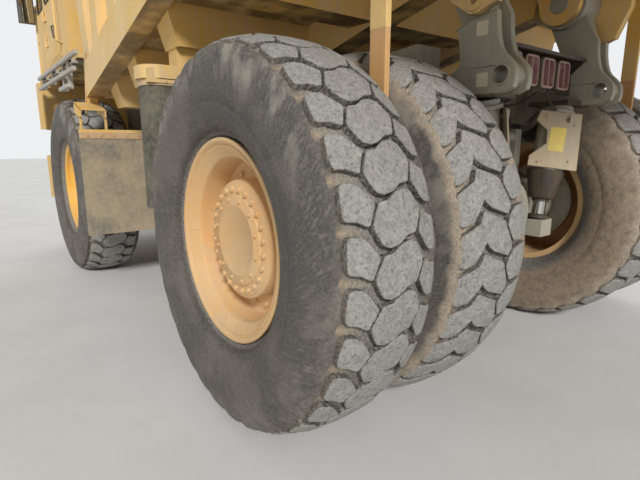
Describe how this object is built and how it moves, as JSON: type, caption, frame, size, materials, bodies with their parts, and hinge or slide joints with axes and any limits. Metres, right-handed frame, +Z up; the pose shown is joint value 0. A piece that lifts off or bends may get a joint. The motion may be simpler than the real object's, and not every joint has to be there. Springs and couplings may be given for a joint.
{
  "type": "rigid dump truck",
  "caption": "Two-axle rigid quarry dump truck with twin rear tyres, tipping body, canopy, deck cab and steered front wheels.",
  "frame": {"origin": "on the ground under the middle of the box round the whole truck", "axes": "+X forward along the truck, +Y to its left, +Z up"},
  "size_m": [9.355, 4.595, 4.4],
  "materials": {
    "yellow_paint": "worn yellow paint under beige dust",
    "rim_paint": "dusty orange yellow paint",
    "grey_paint": "dusty dark grey paint",
    "dark_steel": "dirty black paint and oil",
    "bright_steel": "polished rod",
    "tyre_rubber": "worn tyre rubber with dust",
    "flap_rubber": "dusty sheet rubber",
    "lens_red": "dirty red lens",
    "lens_clear": "clear lamp glass",
    "window_glass": "tinted glass",
    "seat_cloth": "dark cloth",
    "black_plastic": "matte black plastic"
  },
  "bodies": {
    "chassis": {"air_cleaners": "dark_steel", "battery_box": "yellow_paint", "body_pads": "flap_rubber", "cab_shell": "yellow_paint", "cab_windows": "window_glass", "dash_console": "black_plastic", "deck": "yellow_paint", "drive_line": "dark_steel", "driver_chair": "seat_cloth", "engine": "dark_steel", "flap_brackets": "grey_paint", "frame": "grey_paint", "front_arms": "grey_paint", "front_bumper": "yellow_paint", "front_flaps": "flap_rubber", "front_struts": "grey_paint", "grille": "dark_steel", "handrails": "yellow_paint", "head_lamps": "lens_clear", "hood": "yellow_paint", "ladders": "yellow_paint", "lamp_bar": "dark_steel", "mirrors": "dark_steel", "rear_axle": "grey_paint", "rear_brackets": "grey_paint", "rear_links": "grey_paint", "rear_strut_rods": "bright_steel", "rear_struts": "grey_paint", "side_steps": "yellow_paint", "side_tanks": "yellow_paint", "steering_wheel": "black_plastic", "tail_lamps": "lens_red"},
    "dump_body": {"body_tub": "yellow_paint", "body_canopy": "yellow_paint", "body_underframe": "yellow_paint", "rear_flaps": "flap_rubber", "ejector_bars": "yellow_paint"},
    "knuckle_left": {"knuckle_left": "grey_paint"},
    "knuckle_right": {"knuckle_right": "grey_paint"},
    "tie_rod": {"tie_rod": "grey_paint"},
    "cab_door": {"cab_door": "yellow_paint", "door_glass": "window_glass"},
    "wheel_front_left": {"wheel_front_left": "rim_paint", "tyre_front_left": "tyre_rubber"},
    "wheel_rear_left": {"wheel_rear_left": "rim_paint", "tyres_rear_left": "tyre_rubber"},
    "hoist_barrel_left": {"hoist_barrel_left": "dark_steel"},
    "hoist_stage_left": {"hoist_stage_left": "bright_steel"},
    "hoist_rod_left": {"hoist_rod_left": "bright_steel"},
    "wheel_front_right": {"wheel_front_right": "rim_paint", "tyre_front_right": "tyre_rubber"},
    "wheel_rear_right": {"wheel_rear_right": "rim_paint", "tyres_rear_right": "tyre_rubber"},
    "hoist_barrel_right": {"hoist_barrel_right": "dark_steel"},
    "hoist_stage_right": {"hoist_stage_right": "bright_steel"},
    "hoist_rod_right": {"hoist_rod_right": "bright_steel"}
  },
  "joints": [
    {"name": "steer_left", "type": "hinge", "parent": "chassis", "child": "knuckle_left", "pos_m": [2.7125, 1.25, 1.06], "axis": [0, 0, 1], "range_deg": [-38, 38]},
    {"name": "wheel_front_left_spin", "type": "hinge", "parent": "knuckle_left", "child": "wheel_front_left", "pos_m": [2.7125, 1.87, 1.06], "axis": [0, 1, 0], "continuous": true},
    {"name": "wheel_rear_left_spin", "type": "hinge", "parent": "chassis", "child": "wheel_rear_left", "pos_m": [-1.5875, 1.543, 1.06], "axis": [0, 1, 0], "continuous": true},
    {"name": "steer_right", "type": "hinge", "parent": "chassis", "child": "knuckle_right", "pos_m": [2.7125, -1.25, 1.06], "axis": [0, 0, 1], "range_deg": [-38, 38]},
    {"name": "wheel_front_right_spin", "type": "hinge", "parent": "knuckle_right", "child": "wheel_front_right", "pos_m": [2.7125, -1.87, 1.06], "axis": [0, 1, 0], "continuous": true},
    {"name": "wheel_rear_right_spin", "type": "hinge", "parent": "chassis", "child": "wheel_rear_right", "pos_m": [-1.5875, -1.543, 1.06], "axis": [0, 1, 0], "continuous": true},
    {"name": "tie_rod_shift", "type": "slide", "parent": "chassis", "child": "tie_rod", "axis": [0, 1, 0], "range_m": [-0.217, 0.217]},
    {"name": "body_dump", "type": "hinge", "parent": "chassis", "child": "dump_body", "pos_m": [-2.0075, 0, 2.6], "axis": [0, -1, 0], "range_deg": [0, 48]},
    {"name": "hoist_left_tilt", "type": "hinge", "parent": "chassis", "child": "hoist_barrel_left", "pos_m": [-0.1675, 0.37, 1.18], "axis": [0, -1, 0], "range_deg": [0, 24.19]},
    {"name": "hoist_left_stage_slide", "type": "slide", "parent": "hoist_barrel_left", "child": "hoist_stage_left", "axis": [0.4203, 0, 0.9074], "range_m": [0, 0.8771]},
    {"name": "hoist_left_rod_slide", "type": "slide", "parent": "hoist_stage_left", "child": "hoist_rod_left", "axis": [0.4203, 0, 0.9074], "range_m": [0, 0.8771]},
    {"name": "hoist_right_tilt", "type": "hinge", "parent": "chassis", "child": "hoist_barrel_right", "pos_m": [-0.1675, -0.37, 1.18], "axis": [0, -1, 0], "range_deg": [0, 24.19]},
    {"name": "hoist_right_stage_slide", "type": "slide", "parent": "hoist_barrel_right", "child": "hoist_stage_right", "axis": [0.4203, 0, 0.9074], "range_m": [0, 0.8771]},
    {"name": "hoist_right_rod_slide", "type": "slide", "parent": "hoist_stage_right", "child": "hoist_rod_right", "axis": [0.4203, 0, 0.9074], "range_m": [0, 0.8771]},
    {"name": "cab_door_swing", "type": "hinge", "parent": "chassis", "child": "cab_door", "pos_m": [3.2775, 2.138, 3.26], "axis": [0, 0, -1], "range_deg": [0, 75]}
  ],
  "couplings": [
    {"joint": "steer_right", "follows": "steer_left", "ratio": 1},
    {"joint": "tie_rod_shift", "follows": "steer_left", "m_per_rad": -0.3249},
    {"joint": "hoist_left_tilt", "follows": "body_dump", "ratio": 0.50287},
    {"joint": "hoist_left_stage_slide", "follows": "body_dump", "m_per_rad": 1.0463},
    {"joint": "hoist_left_rod_slide", "follows": "body_dump", "m_per_rad": 1.0463},
    {"joint": "hoist_right_tilt", "follows": "body_dump", "ratio": 0.50287},
    {"joint": "hoist_right_stage_slide", "follows": "body_dump", "m_per_rad": 1.0463},
    {"joint": "hoist_right_rod_slide", "follows": "body_dump", "m_per_rad": 1.0463}
  ]
}
